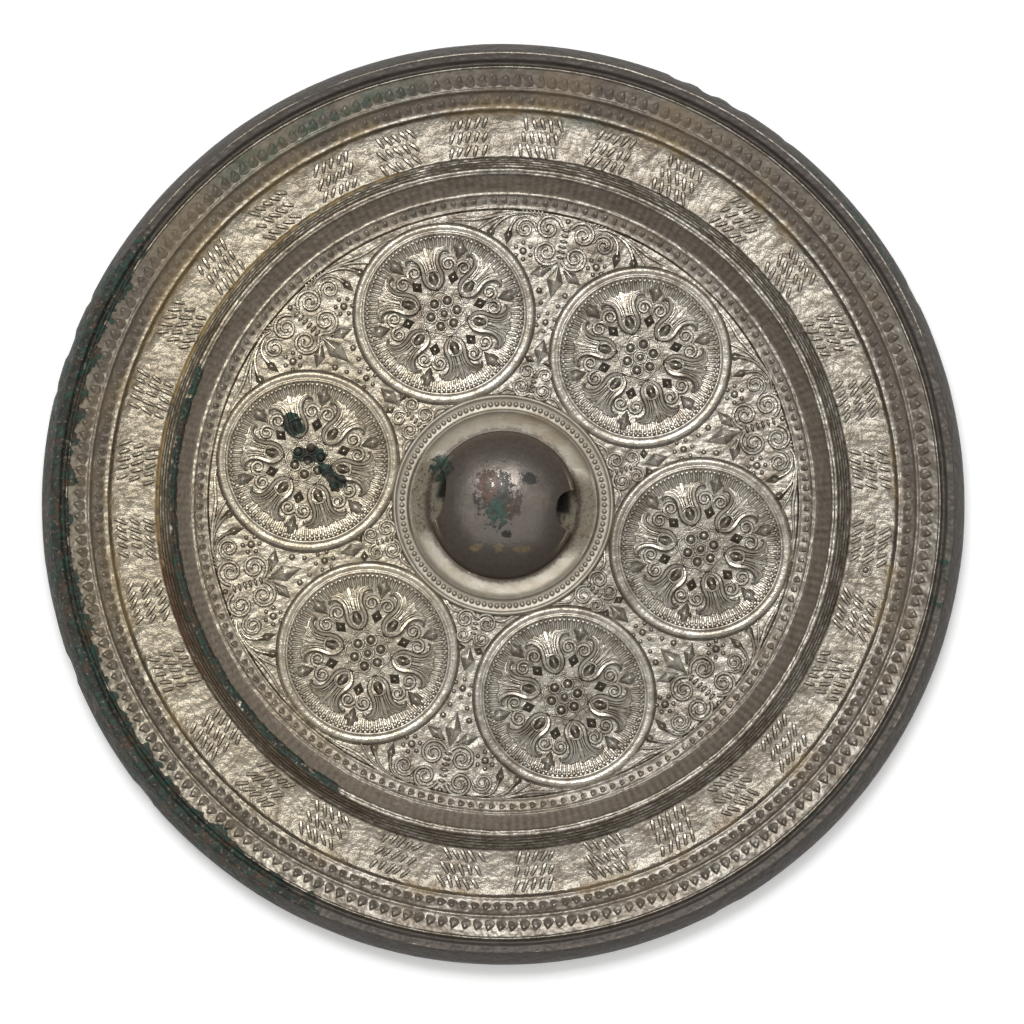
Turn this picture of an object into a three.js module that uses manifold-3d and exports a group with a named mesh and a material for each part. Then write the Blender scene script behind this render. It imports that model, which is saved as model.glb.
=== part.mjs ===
// A cast bronze mirror with a six-medallion back, lying on its flat reflecting face.
// Millimetres, +Z up. The origin is the centre of the reflecting face, on the ground.
// The mirror is one casting: disc, raised rim, rings, medallions, scrolls and pierced knob.
// Angles on the back are counted clockwise from +Y, as seen from above.

import * as THREE from "three";
import { ConvexGeometry } from "three/addons/geometries/ConvexGeometry.js";
import { mergeVertices } from "three/addons/utils/BufferGeometryUtils.js";
import Module from "manifold-3d";

// Driving dimensions of the casting.
const mirrorRadius = 107.5;
const bevel = 0.6;
const rim = { height: 11.4, taper: 1.9, width: 1.8, fall: 0.3 };
const groove = { width: 1.8, floor: 9.8 };
const toothSteps = { outerTop: 10.3, middleTop: 8.8, innerTop: 6.5, outerWidth: 5.1, innerWidth: 4.7 };
const scriptBand = { floor: 5.2, width: 11.5 };
const lip = 0.5; // the small slant at the edge of each step
const highRidge = { height: 8.9, flank: 3.1, crest: 0.9, innerSlope: 4.2 };
const beadStep = { height: 4.9, floor: 4.2, width: 3.4 };
const fieldHeight = 3.4;

// The knob and the ring round it.
const knob = { radius: 16.6, height: 10.9, bands: 5, sides: 23 };
const seat = { radius: 21.3, rise: 0.35 };
const knobRing = { radius: 25.1, height: 0.9, innerHeight: 0.72, foot: 0.7, depth: 1 };
const cordHole = { turn: -7, offset: 0.35, floor: 3.6, reach: 17.8 };
const holeMouths = {
  left: { width: 12.1, height: 6.8 },
  middle: { width: 9.4, height: 5.4 },
  right: { width: 9.1, height: 9 },
};

// The decoration. All six medallions face the same way, and the scrolls are turned round the centre.
const repeats = 6;
const medallion = { distance: 46.9, firstAngle: -17.4, innerRim: 18.3, outerRim: 20.8, rise: 1.1, sides: 20 };
const diamondAxis = 13.5;
const palmetteAxis = -17;
const outerScrollAxis = 12.7;
const innerScrollAxis = 13.5;
const script = { blocks: 32, firstAngle: 107.5, rows: 2, rowGap: 5 };
const stroke = { halfWidth: 0.6, height: 0.45, halfLength: 2.5, longer: 0.25, slant: 20, steeper: 7 };
const bodySides = 2 * script.blocks; // each block of strokes stands on every other flat of the disc
const beadSides = 4;
const scrollWind = 0.62; // how much of its radius a scroll loses as it winds in
const sunk = 0.35; // how far a raised form's foot lies below the surface that carries it

const wasm = await Module();
wasm.setup();

// Turns a closed three.js geometry into a solid that can be joined and cut.
function solidOf(geometry) {
  const bare = new THREE.BufferGeometry();
  bare.setAttribute("position", geometry.getAttribute("position").clone());
  if (geometry.index) bare.setIndex(geometry.index.clone());
  const merged = mergeVertices(bare, 1e-4);
  const mesh = new wasm.Mesh({
    numProp: 3,
    vertProperties: new Float32Array(merged.getAttribute("position").array),
    triVerts: new Uint32Array(merged.index.array),
  });
  mesh.merge();
  return new wasm.Manifold(mesh);
}

// Turns a finished solid back into a three.js geometry.
function geometryOf(solid) {
  const mesh = solid.getMesh();
  const geometry = new THREE.BufferGeometry();
  geometry.setAttribute("position", new THREE.BufferAttribute(new Float32Array(mesh.vertProperties), 3));
  geometry.setIndex(new THREE.BufferAttribute(new Uint32Array(mesh.triVerts), 1));
  geometry.computeVertexNormals();
  return geometry;
}

const radians = THREE.MathUtils.degToRad;

// Carries forms drawn with +Y pointing outwards to an angle and distance round the centre.
function placed(forms, angle, distance, height, turn = angle) {
  const matrix = new THREE.Matrix4().makeRotationZ(-radians(turn));
  matrix.setPosition(distance * Math.sin(radians(angle)), distance * Math.cos(radians(angle)), height);
  return forms.map((form) => form.clone().applyMatrix4(matrix));
}

// The same form on the other side of the Y axis. Two corners of each triangle trade places to face out.
function mirrored(form) {
  const copy = form.index ? form.toNonIndexed() : form.clone();
  const position = copy.getAttribute("position");
  for (let i = 0; i < position.count; i += 3) {
    const points = [0, 2, 1].map((k) => new THREE.Vector3().fromBufferAttribute(position, i + k));
    points.forEach((point, k) => position.setXYZ(i + k, -point.x, point.y, point.z));
  }
  return copy;
}

// A turned form, from the points of its profile as [radius, height].
function turned(profile, sides) {
  const points = profile.map(([radius, height]) => new THREE.Vector2(radius, height));
  return new THREE.LatheGeometry(points, sides).rotateX(Math.PI / 2);
}

// A low faceted bud or leaf: an outline in the surface, drawn anticlockwise, that rises to one peak.
function bud(outline, peak, height) {
  const spread = (height + sunk) / height;
  const foot = outline.map(([x, y]) => [
    peak[0] + (x - peak[0]) * spread,
    peak[1] + (y - peak[1]) * spread,
    -sunk,
  ]);
  const middle = [...peak, -sunk];
  const crown = [...peak, height];
  const triangles = foot.flatMap((corner, i) => {
    const next = foot[(i + 1) % foot.length];
    return [corner, next, crown, next, corner, middle];
  });
  const geometry = new THREE.BufferGeometry();
  geometry.setAttribute("position", new THREE.Float32BufferAttribute(triangles.flat(), 3));
  return geometry;
}

// A four-sided bud along +Y, from its foot to its tip.
function diamond(foot, tip, halfWidth, height, belly = 0.5) {
  const middle = foot + (tip - foot) * belly;
  return bud([[0, foot], [halfWidth, middle], [0, tip], [-halfWidth, middle]], [0, middle], height);
}

// A round bead or boss.
function bead(x, y, radius, height) {
  const outline = Array.from({ length: beadSides }, (_, i) => {
    const angle = (i / beadSides) * 2 * Math.PI;
    return [x + radius * Math.cos(angle), y + radius * Math.sin(angle)];
  });
  return bud(outline, [x, y], height);
}

// A raised line with a sharp back that follows a flat curve.
function raisedLine(curve, width, height, steps) {
  const half = (width / 2) * (height + sunk) / height;
  const section = new THREE.Shape([
    new THREE.Vector2(sunk, -half),
    new THREE.Vector2(-height, 0),
    new THREE.Vector2(sunk, half),
  ]);
  return new THREE.ExtrudeGeometry(section, { steps, extrudePath: curve });
}

// A flat scroll that winds in from its tail. Positive turns wind clockwise.
class Scroll extends THREE.Curve {
  constructor(x, y, radius, startAngle, turns) {
    super();
    Object.assign(this, { x, y, radius, startAngle, turns });
  }

  getPoint(t, target = new THREE.Vector3()) {
    const angle = radians(this.startAngle) + t * this.turns * 2 * Math.PI;
    const reach = this.radius * (1 - scrollWind * t);
    return target.set(this.x + reach * Math.sin(angle), this.y + reach * Math.cos(angle), 0);
  }
}

// The disc with its rim and its stepped rings, from the ground up and inwards to the field.
function bodyProfile() {
  const rimInside = mirrorRadius - rim.taper - rim.width;
  const grooveInside = rimInside - groove.width;
  const middleStep = grooveInside - toothSteps.outerWidth;
  const innerStep = middleStep - toothSteps.innerWidth;
  const bandInside = innerStep - scriptBand.width;
  const ridgeOutside = bandInside - highRidge.flank;
  const ridgeInside = ridgeOutside - highRidge.crest;
  const beadOutside = ridgeInside - highRidge.innerSlope;
  const beadInside = beadOutside - beadStep.width;
  return [
    [0, 0],
    [mirrorRadius - bevel, 0],
    [mirrorRadius, bevel],
    [mirrorRadius - rim.taper, rim.height],
    [rimInside, rim.height - rim.fall],
    [rimInside - 2 * lip, groove.floor],
    [grooveInside - lip, toothSteps.outerTop],
    [middleStep - lip, toothSteps.middleTop],
    [innerStep, toothSteps.innerTop],
    [innerStep - lip, scriptBand.floor],
    [bandInside, scriptBand.floor],
    [ridgeOutside, highRidge.height],
    [ridgeInside, highRidge.height],
    [beadOutside, beadStep.height],
    [beadInside, beadStep.floor],
    [beadInside - lip, fieldHeight],
    [0, fieldHeight],
  ];
}

// The knob is half an ellipsoid, standing in a dished seat with a ring round it.
function knobProfile() {
  const foot = fieldHeight - knobRing.depth;
  const dome = [];
  for (let i = 0; i <= knob.bands; i += 1) {
    const lift = (i / knob.bands) * (Math.PI / 2);
    dome.push([knob.radius * Math.cos(lift), fieldHeight + knob.height * Math.sin(lift)]);
  }
  dome[knob.bands][0] = 0;
  return [
    [0, foot],
    [knobRing.radius + knobRing.foot, foot],
    [knobRing.radius, fieldHeight + knobRing.height],
    [seat.radius + lip, fieldHeight + knobRing.innerHeight],
    [seat.radius, fieldHeight + seat.rise],
    ...dome,
  ];
}

// The hole for the cord is an arch that runs under the knob. It flares to both mouths.
function cordHoleSolid() {
  const arch = [[-0.5, 0], [-0.5, 0.5], [-0.3, 1], [0.3, 1], [0.5, 0.5], [0.5, 0]];
  const archAt = (x, { width, height }) => arch.map(([y, z]) => new THREE.Vector3(x, y * width, z * height));
  const { left, middle, right } = holeMouths;
  const halves = [
    [...archAt(-cordHole.reach, left), ...archAt(0, middle)],
    [...archAt(0, middle), ...archAt(cordHole.reach, right)],
  ];
  const solids = halves.map((points) => {
    const half = new ConvexGeometry(points);
    half.rotateZ(radians(cordHole.turn));
    half.translate(0, cordHole.offset, cordHole.floor);
    return solidOf(half);
  });
  return solids[0].add(solids[1]);
}

// One sixth of a medallion, with its diamond axis along +Y: two diamonds, a bead and a pair of volutes.
function medallionAxisForms() {
  return [
    diamond(13.2, 18.3, 1.7, 1.7),
    diamond(7.1, 10.3, 1.2, 1.5, 0.55),
    bead(0, 3.15, 1.15, 1.2),
    bead(1.55, 11.5, 1.4, 0.7),
    bead(-1.55, 11.5, 1.4, 0.7),
  ];
}

// A palmette along +Y: a round cup, and a flared crown whose two lobes curl outwards past its middle point.
function palmetteForms() {
  const cup = bud([[0, 5.7], [1.9, 7.2], [1.8, 10.4], [-1.8, 10.4], [-1.9, 7.2]], [0, 8.7], 2.2);
  const crown = bud(
    [[1.7, 9.4], [2.1, 12], [4.6, 13.6], [0, 15.6], [-4.6, 13.6], [-2.1, 12], [-1.7, 9.4]],
    [0, 12.4],
    1,
  );
  return [cup, crown];
}

function medallionForms() {
  const ringProfile = [
    [medallion.innerRim, -sunk],
    [medallion.outerRim, -sunk],
    [medallion.outerRim - lip, medallion.rise],
    [medallion.innerRim, -sunk],
  ];
  const forms = [turned(ringProfile, medallion.sides), bead(0, 0, 1.2, 1.3)];
  for (let k = 0; k < repeats; k += 1) {
    const turn = k * 360 / repeats;
    forms.push(...placed(medallionAxisForms(), 0, 0, 0, diamondAxis + turn));
    forms.push(...placed(palmetteForms(), 0, 0, 0, palmetteAxis + turn));
  }
  return forms;
}

// The scrollwork between two medallions and the outer rings, drawn from the mirror's centre along +Y.
function outerScrollForms() {
  const side = [
    raisedLine(new Scroll(4.1, 65.4, 2.6, -75, 0.85), 0.9, 0.7, 4),
    raisedLine(new Scroll(3.4, 59.8, 2.6, 240, -0.85), 0.9, 0.7, 4),
    bead(9.3, 63.9, 1.7, 0.6),
    bud([[1.2, 56.6], [2.7, 53.9], [6, 54.2], [3.6, 57.1]], [3.2, 55.2], 1.1),
    bud([[12.6, 64.4], [12.9, 61.8], [14.3, 60.2], [14.2, 62.6]], [13.5, 62.4], 1.1),
    bud([[16.2, 64], [16.8, 61.6], [18.6, 60.3], [18.2, 62.4]], [17.4, 62.2], 1.1),
    bead(8.8, 58.3, 1.1, 0.7),
  ];
  return [
    ...side,
    ...side.map(mirrored),
    diamond(49.3, 57, 1.8, 1.4, 0.55),
    diamond(58.6, 66.4, 0.8, 0.7),
    bead(0, 43.8, 1.9, 0.8),
  ];
}

// The smaller scrollwork between two medallions and the ring round the knob.
function innerScrollForms() {
  const side = [
    bead(2.1, 31.6, 1.4, 0.6),
    raisedLine(new Scroll(2.5, 27.9, 1.9, 230, -0.85), 0.8, 0.6, 4),
    bud([[1, 33.9], [2.4, 33.6], [3.4, 34.4], [2.2, 35.4]], [2.2, 34.4], 0.8),
  ];
  return [...side, ...side.map(mirrored), diamond(34.2, 39.9, 1.6, 1.4, 0.45), diamond(27.4, 32.4, 0.7, 0.6)];
}

// Rows of short slanting strokes stand where a verse ran. They are spaced like writing but spell nothing.
function scriptForms() {
  const middle = mirrorRadius - rim.taper - rim.width - groove.width - toothSteps.outerWidth
    - toothSteps.innerWidth - (scriptBand.width + lip) / 2;
  const forms = [];
  for (let block = 0; block < script.blocks; block += 1) {
    for (let row = 0; row < script.rows; row += 1) {
      const halfLength = stroke.halfLength + ((block * 5 + row * 3) % 4) * stroke.longer;
      const slant = (block % 2 ? 1 : -1) * (stroke.slant + ((block * 3 + row) % 3) * stroke.steeper);
      const dash = diamond(-halfLength, halfLength, stroke.halfWidth, stroke.height);
      dash.rotateZ(radians(90 + slant));
      dash.translate(0, (row - (script.rows - 1) / 2) * script.rowGap, 0);
      const angle = script.firstAngle + block * 360 / script.blocks;
      forms.push(...placed([dash], angle, middle, scriptBand.floor));
    }
  }
  return forms;
}

function decorationForms() {
  const forms = [...scriptForms()];
  for (let k = 0; k < repeats; k += 1) {
    const turn = k * 360 / repeats;
    forms.push(...placed(medallionForms(), medallion.firstAngle + turn, medallion.distance, fieldHeight, 0));
    forms.push(...placed(outerScrollForms(), outerScrollAxis + turn, 0, fieldHeight));
    forms.push(...placed(innerScrollForms(), innerScrollAxis + turn, 0, fieldHeight));
  }
  return forms;
}

const silveredBronze = new THREE.MeshStandardMaterial({ color: 0x9b958b, metalness: 1, roughness: 0.38 });

const firstFlat = script.firstAngle + 180 / bodySides;
const body = solidOf(turned(bodyProfile(), bodySides).rotateZ(-radians(firstFlat)));
const knobSolid = solidOf(turned(knobProfile(), knob.sides));
const decoration = decorationForms().map(solidOf);
const casting = wasm.Manifold.union([body, knobSolid, ...decoration]).subtract(cordHoleSolid());

const mirror = new THREE.Mesh(geometryOf(casting), silveredBronze);
mirror.name = "mirror";

const part = new THREE.Group();
part.add(mirror);

export default part;
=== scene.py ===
import math
import random

import bpy
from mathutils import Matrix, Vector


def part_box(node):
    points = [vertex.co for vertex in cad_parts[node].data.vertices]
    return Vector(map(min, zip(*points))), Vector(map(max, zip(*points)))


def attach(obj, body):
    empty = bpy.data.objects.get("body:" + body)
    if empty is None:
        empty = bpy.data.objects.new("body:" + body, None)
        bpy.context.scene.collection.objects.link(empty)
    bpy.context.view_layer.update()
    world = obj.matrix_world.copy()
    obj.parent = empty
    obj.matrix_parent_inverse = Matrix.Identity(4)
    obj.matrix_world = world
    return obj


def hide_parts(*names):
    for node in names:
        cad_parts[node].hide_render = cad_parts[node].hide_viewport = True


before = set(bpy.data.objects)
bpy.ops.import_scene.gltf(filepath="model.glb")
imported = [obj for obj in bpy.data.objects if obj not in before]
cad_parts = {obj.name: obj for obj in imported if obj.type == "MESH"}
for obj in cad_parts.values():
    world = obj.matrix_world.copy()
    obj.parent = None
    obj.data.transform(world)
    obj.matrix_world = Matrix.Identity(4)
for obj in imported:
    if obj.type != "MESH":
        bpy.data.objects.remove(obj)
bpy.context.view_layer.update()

# Sizes are in millimetres unless a note says so. Angles are in degrees, clockwise from +Y.
mm = 0.001
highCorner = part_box("mirror")[1]
discRadius = highCorner.x / mm
knobTop = highCorner.z / mm
fieldHeight = 3.4
repeats = 6
fieldShift = (0.22, -0.5)  # the decoration of the field was cast off the centre of the rim by this much


def setMode(mode):
    bpy.ops.object.mode_set(mode=mode)


def selectMesh():
    bpy.ops.mesh.select_all(action="SELECT")


def applied(location=False, rotation=False, scale=False):
    bpy.ops.object.transform_apply(location=location, rotation=rotation, scale=scale)


def clearSelection():
    if bpy.context.mode != "OBJECT":
        setMode("OBJECT")
    bpy.ops.object.select_all(action="DESELECT")


def makeActive(*things):
    clearSelection()
    for thing in things:
        thing.select_set(True)
    bpy.context.view_layer.objects.active = things[0]
    return things[0]


def joined(name, *things):
    piece = makeActive(*things)
    if len(things) > 1:
        bpy.ops.object.join()
    piece.name = name
    piece.data.name = name
    return piece


def smoothed(piece, angle):
    makeActive(piece)
    bpy.ops.object.shade_smooth_by_angle(angle=math.radians(angle))
    return piece


def turnedPoint(x, y, angle):
    turn = math.radians(angle)
    return x * math.cos(turn) + y * math.sin(turn), y * math.cos(turn) - x * math.sin(turn)


def mirroredLine(line):
    return [(-x, y, z, radius) for x, y, z, radius in line]


def bothSides(lines):
    return lines + [mirroredLine(line) for line in lines]


def turnedLine(line, angle):
    return [(*turnedPoint(x, y, angle), z, radius) for x, y, z, radius in line]


def allRound(count):
    # copies everything in edit mode round the Z axis; the first copy is already in place
    selectMesh()
    angle = 2 * math.pi * (count - 1) / count
    bpy.ops.mesh.spin(steps=count - 1, angle=angle, center=(0, 0, 0), axis=(0, 0, 1), dupli=True)


def spunShape(name, profile, steps):
    # a plane shrunk to one point is drawn out along the profile and spun
    clearSelection()
    bpy.ops.mesh.primitive_plane_add(size=mm)
    setMode("EDIT")
    bpy.ops.mesh.merge(type="CENTER")
    bpy.ops.transform.translate(value=(profile[0][0] * mm, 0, profile[0][1] * mm))
    for (fromRadius, fromHeight), (toRadius, toHeight) in zip(profile, profile[1:]):
        step = ((toRadius - fromRadius) * mm, 0, (toHeight - fromHeight) * mm)
        bpy.ops.mesh.extrude_region_move(TRANSFORM_OT_translate={"value": step})
    selectMesh()
    bpy.ops.mesh.spin(steps=steps, angle=2 * math.pi, center=(0, 0, 0), axis=(0, 0, 1))
    selectMesh()
    bpy.ops.mesh.remove_doubles(threshold=0.005 * mm)
    bpy.ops.mesh.normals_make_consistent(inside=False)
    setMode("OBJECT")
    return joined(name, bpy.context.object)


def addSpline(shape, line):
    spline = shape.splines.new("BEZIER")
    spline.bezier_points.add(len(line) - 1)
    for point, (x, y, z, radius) in zip(spline.bezier_points, line):
        point.co = (x * mm, y * mm, z * mm)
        point.radius = radius
        point.handle_left_type = "AUTO"
        point.handle_right_type = "AUTO"
    return spline


def wireRelief(name, lines, smoothness=3):
    # six-sided wires; each line is a list of (x, y, height of its middle, half width)
    clearSelection()
    bpy.ops.object.add(type="CURVE")
    wires = bpy.context.object
    shape = wires.data
    shape.dimensions = "3D"
    shape.bevel_depth = mm
    shape.bevel_resolution = 1
    shape.use_fill_caps = True
    shape.resolution_u = smoothness
    for line in lines:
        addSpline(shape, line)
    bpy.ops.object.convert(target="MESH")
    return joined(name, bpy.context.object)


def scrollLine(x, y, height, startRadius, endRadius, startAngle, turns, halfWidth):
    # a spiral that winds in and ends in a small ball; negative turns wind the other way
    steps = max(8, round(abs(turns) * 11))
    line = []
    for i in range(steps + 1):
        along = i / steps
        reach = startRadius + (endRadius - startRadius) * along ** 0.85
        px, py = turnedPoint(0, reach, startAngle + 360 * turns * along)
        line.append((x + px, y + py, height, halfWidth * (1 - 0.25 * along)))
    line.append((x + px * 0.6, y + py * 0.6, height, halfWidth * 1.25))
    return line


def startRelief(name):
    clearSelection()
    bpy.ops.object.add(type="MESH")
    relief = bpy.context.object
    relief.name = name
    setMode("EDIT")
    return relief


def endRelief(relief):
    selectMesh()
    bpy.ops.mesh.normals_make_consistent(inside=False)
    setMode("OBJECT")
    return relief


def addBud(x, y, height, halfWidth, halfLength, ground=0, turn=0, sides=4, flat=0.12):
    # a faceted leaf or pyramid; its foot is sunk below the ground by depth
    depth = 0.4
    spread = (height + depth) / height
    bpy.ops.mesh.primitive_cone_add(
        vertices=sides, radius1=1, radius2=flat, depth=(height + depth) * mm,
        location=(x * mm, y * mm, (ground + (height - depth) / 2) * mm),
        rotation=(0, 0, -math.radians(turn)),
        scale=(halfWidth * spread * mm, halfLength * spread * mm, 1))


def addBall(x, y, z, halfSizes, segments, bands):
    bpy.ops.mesh.primitive_uv_sphere_add(
        segments=segments, ring_count=bands, radius=1, location=(x * mm, y * mm, z * mm),
        scale=[half * mm for half in halfSizes])


def addDome(x, y, height, radius, ground=0, segments=10, bands=6):
    addBall(x, y, ground, (radius, radius, height), segments, bands)


def addRinglet(x, y, height, radius, thickness, segments=14):
    bpy.ops.mesh.primitive_torus_add(
        major_radius=radius * mm, minor_radius=thickness * mm, major_segments=segments,
        minor_segments=6, location=(x * mm, y * mm, height * mm))


def copied(piece, name, angle, distance, height, turn=0):
    # a copy with its own mesh, turned and carried to its place round the middle of the field
    makeActive(piece)
    bpy.ops.object.duplicate(linked=False)
    copy = bpy.context.object
    x, y = turnedPoint(0, distance, angle)
    copy.location = ((x + fieldShift[0]) * mm, (y + fieldShift[1]) * mm, height * mm)
    copy.rotation_euler = (0, 0, -math.radians(turn))
    applied(True, True, True)
    return joined(name, copy)


def deleted(*things):
    for thing in things:
        bpy.data.objects.remove(thing)


disc = {
    "steps": 360,
    "edge": [(0, 0), (60, 0), (106.5, 0), (106.95, 0.12), (107.15, 0.5), (107.2, 1.2), (107.3, 3.0)],
    "rimWall": [(107.4, 4.6), (107.36, 5.6), (107.0, 7.0), (106.4, 8.4), (105.7, 9.8), (105.25, 10.6),
                (104.95, 11.1), (104.75, 11.36), (104.55, 11.43), (104.35, 11.4)],
    "rimTop": [(104.0, 11.3), (103.6, 11.26), (103.2, 11.24), (103.0, 11.16), (102.86, 10.9), (102.7, 10.4),
               (102.45, 10.0), (102.2, 9.88), (101.95, 9.98), (101.75, 10.22), (101.58, 10.5), (101.42, 10.66),
               (101.26, 10.68), (101.1, 10.56), (101.0, 10.34)],
    "outerSteps": [(100.8, 10.25), (99.5, 9.85), (98.2, 9.45), (96.9, 9.02), (96.65, 9.1), (96.4, 9.26),
                   (96.15, 9.26), (95.9, 9.05), (95.75, 8.3), (95.5, 8.1), (94.2, 7.45), (92.9, 6.82),
                   (92.4, 6.75), (92.15, 6.85), (91.9, 6.75), (91.7, 6.2), (91.4, 5.5), (91.0, 5.25)],
    "bandFloor": [(88.5, 5.2), (86, 5.2), (83.5, 5.2), (81.3, 5.22)],
    "highRidge": [(80.9, 5.3), (80.7, 5.62), (80.45, 5.95), (80.15, 6.0), (79.95, 6.2), (79.8, 6.62),
                  (79.5, 6.72), (79.3, 6.95), (79.15, 7.35), (78.85, 7.45), (78.65, 7.7), (78.5, 8.1),
                  (78.2, 8.2), (78.0, 8.42), (77.85, 8.75), (77.6, 8.93), (77.3, 8.94), (77.0, 8.85),
                  (76.85, 8.7), (76.65, 8.72), (76.4, 8.62), (76.2, 8.35)],
    "innerSlope": [(75.4, 7.55), (74.4, 6.55), (73.4, 5.6), (72.8, 5.05), (72.5, 4.95), (72.25, 5.1),
                   (72.0, 5.05), (71.8, 4.8), (71.3, 4.66), (70.5, 4.45), (69.7, 4.25), (69.45, 4.25),
                   (69.2, 4.4), (68.95, 4.36), (68.75, 3.95), (68.5, 3.5)],
    "field": [(66, 3.4), (60, 3.4), (50, 3.4), (38, 3.4), (25, 3.4), (12, 3.4), (0, 3.4)],
    "waveSize": 14, "wave": 0.16, "dentSize": 2.2, "dent": 0.07,
    # the chips stay between these heights and outside this radius; lower than flatFoot all is flat
    "chipLow": 0.05, "chipHigh": 8, "chipInside": 105, "flatFoot": 0.08,
}

# Shallow chips in the outer edge: angle, how far along the edge, how deep.
rimChips = [(22.5, 4.5, 0.35), (26.2, 3.2, 0.5), (30.5, 5.0, 0.35), (38, 3.0, 0.25), (290, 4, 0.4),
            (296, 3.5, 0.3), (284, 3, 0.3), (63, 4, 0.2), (151, 4, 0.2), (231, 5, 0.25), (249, 4, 0.35)]


def madeUneven(piece, size, strength, name):
    # casting unevenness, from a clouds texture in the object's own space
    texture = bpy.data.textures.new(name, "CLOUDS")
    texture.noise_scale = size * mm
    texture.noise_depth = 2
    makeActive(piece)
    bpy.ops.object.modifier_add(type="DISPLACE")
    change = piece.modifiers[-1]
    change.texture = texture
    change.texture_coords = "LOCAL"
    change.strength = strength * mm
    change.mid_level = 0.5
    bpy.ops.object.modifier_apply(modifier=change.name)


def makeDisc():
    profile = []
    for part in ("edge", "rimWall", "rimTop", "outerSteps", "bandFloor", "highRidge", "innerSlope", "field"):
        profile += disc[part]
    body = spunShape("mirror_body", profile, disc["steps"])
    madeUneven(body, disc["waveSize"], disc["wave"], "castingWave")
    madeUneven(body, disc["dentSize"], disc["dent"], "castingDents")
    makeActive(body)
    for angle, along, deep in rimChips:
        x, y = turnedPoint(0, discRadius, angle)
        setMode("EDIT")
        bpy.ops.mesh.select_all(action="DESELECT")
        setMode("OBJECT")
        for vertex in body.data.vertices:
            place = vertex.co / mm
            near = math.hypot(place.x - x, place.y - y) < along / 2
            low = disc["chipLow"] < place.z < disc["chipHigh"]
            vertex.select = near and low and math.hypot(place.x, place.y) > disc["chipInside"]
        setMode("EDIT")
        inwards = (-x / discRadius * deep * mm, -y / discRadius * deep * mm, 0)
        bpy.ops.transform.translate(value=inwards)
        setMode("OBJECT")
    # the underside stays flat on the ground
    for vertex in body.data.vertices:
        if vertex.co.z < disc["flatFoot"] * mm:
            vertex.co.z = 0
    return smoothed(body, 50)


toothRows = {
    "outer_teeth": {"count": 226, "radius": 98.35, "height": 9.72, "slope": 16.5, "halfWidth": 1.4,
                    "halfLength": 1.6, "rise": 0.7, "lean": 14, "start": 0.3},
    "middle_teeth": {"count": 224, "radius": 93.95, "height": 7.36, "slope": 26, "halfWidth": 1.35,
                     "halfLength": 1.3, "rise": 0.66, "lean": 14, "start": 0.8},
    "inner_teeth": {"count": 186, "radius": 70.7, "height": 4.5, "slope": 14.5, "halfWidth": 1.15,
                    "halfLength": 1.05, "rise": 0.56, "lean": 34, "start": 0.2},
    "cut": 0.4, "peak": 0.5, "sink": 0.06, "wearSize": 3, "wear": 0.16,
}
toothNames = [name for name in toothRows if name.endswith("_teeth")]


def makeToothRow(name):
    # a soft tooth, narrow outwards and highest near its outer end, laid on the slope of the step
    row = toothRows[name]
    cut = toothRows["cut"]
    clearSelection()
    bpy.ops.mesh.primitive_uv_sphere_add(segments=12, ring_count=12, radius=1)
    tooth = bpy.context.object
    setMode("EDIT")
    selectMesh()
    bpy.ops.mesh.bisect(plane_co=(0, 0, cut), plane_no=(0, 0, -1), use_fill=True, clear_outer=True)
    setMode("OBJECT")
    for vertex in tooth.data.vertices:
        lift = 1 - math.hypot(vertex.co.x, vertex.co.y) / (1 - cut ** 2) ** 0.5
        outwards = vertex.co.y
        vertex.co.x *= (0.85 - 0.6 * outwards) * row["halfWidth"] * mm
        vertex.co.y = (outwards + toothRows["peak"] * lift) * row["halfLength"] * mm
        vertex.co.z = (lift * row["rise"] - toothRows["sink"]) * mm
    x, y = turnedPoint(0, row["radius"], row["start"])
    tooth.rotation_euler = (0, 0, -math.radians(row["lean"]))
    applied(rotation=True)
    tooth.rotation_euler = (math.radians(row["slope"]), 0, 0)
    applied(rotation=True)
    tooth.rotation_euler = (0, 0, -math.radians(row["start"]))
    tooth.location = (x * mm, y * mm, row["height"] * mm)
    applied(True, True, True)
    setMode("EDIT")
    allRound(row["count"])
    endRelief(tooth)
    teeth = joined(name, tooth)
    madeUneven(teeth, toothRows["wearSize"], toothRows["wear"], name + "Wear")
    return smoothed(teeth, 60)


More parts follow.
